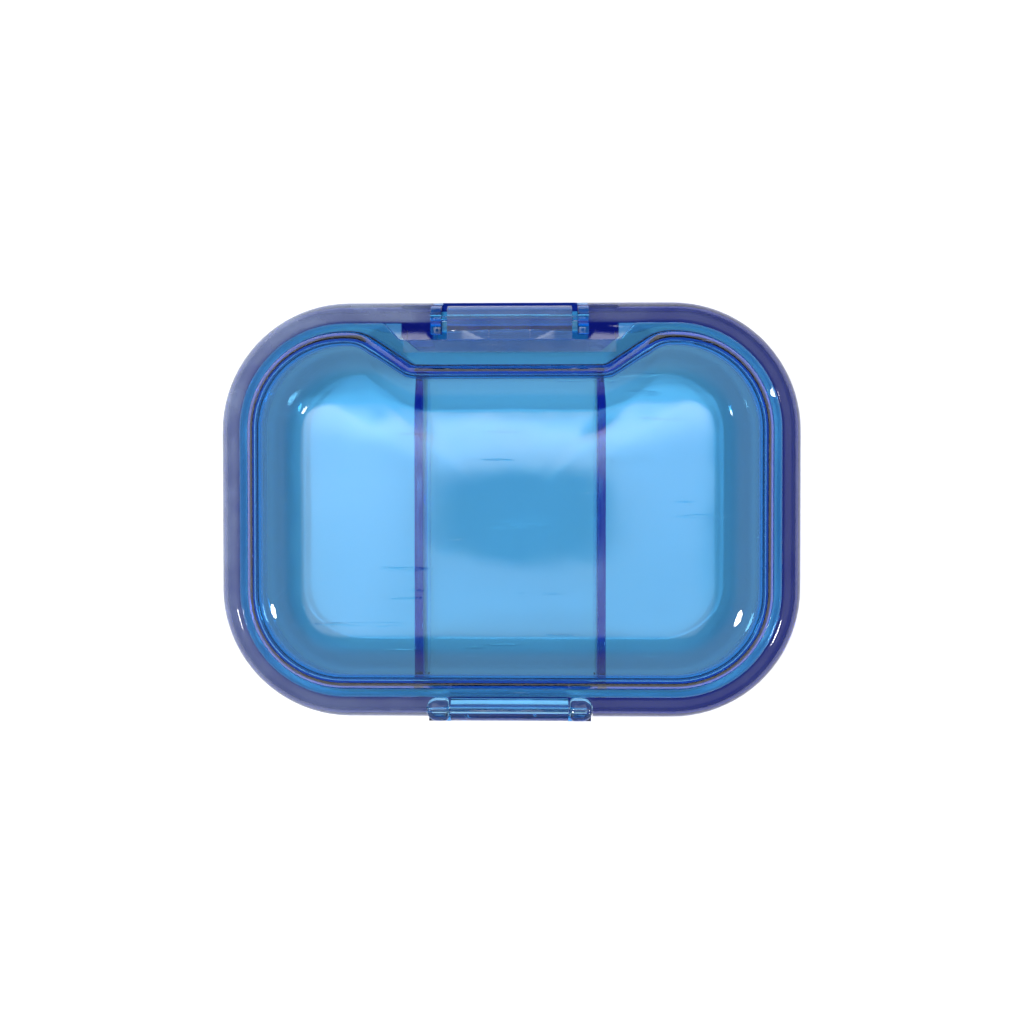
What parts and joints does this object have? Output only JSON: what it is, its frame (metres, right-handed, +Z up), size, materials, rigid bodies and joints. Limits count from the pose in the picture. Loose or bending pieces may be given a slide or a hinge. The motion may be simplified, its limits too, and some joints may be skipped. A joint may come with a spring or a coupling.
{
  "type": "pill case",
  "caption": "Translucent pocket pill case: double-walled tray with compartments, domed lid on a pinned rear hinge, flip latch at the front.",
  "frame": {"origin": "centre of the bounding box in plan, at the underside of the tray, with the lid and latch closed", "axes": "+X along the case's length, +Y towards the hinge, +Z up through the lid"},
  "size_m": [0.088, 0.0642, 0.023],
  "materials": {
    "tray_blue": "gloss, transparent blue polystyrene",
    "divider_blue": "gloss, transparent blue polystyrene",
    "lid_blue": "gloss, transparent blue polystyrene",
    "latch_clear": "gloss, lightly tinted plastic",
    "pin_blue": "moulded plastic rod, plain"
  },
  "bodies": {
    "base": {"base_tray": "tray_blue", "divider_left": "divider_blue", "divider_right": "divider_blue", "hinge_pin": "pin_blue"},
    "cover": {"lid": "lid_blue", "latch_pin": "pin_blue"},
    "latch": {"front_latch": "latch_clear"}
  },
  "joints": [
    {"name": "lid_hinge", "type": "hinge", "parent": "base", "child": "cover", "pos_m": [0, 0.02933, 0.01595], "axis": [-1, 0, 0], "range_deg": [0, 110]},
    {"name": "latch_hinge", "type": "hinge", "parent": "cover", "child": "latch", "pos_m": [0, -0.02898, 0.01825], "axis": [-1, 0, 0], "range_deg": [0, 110]}
  ]
}
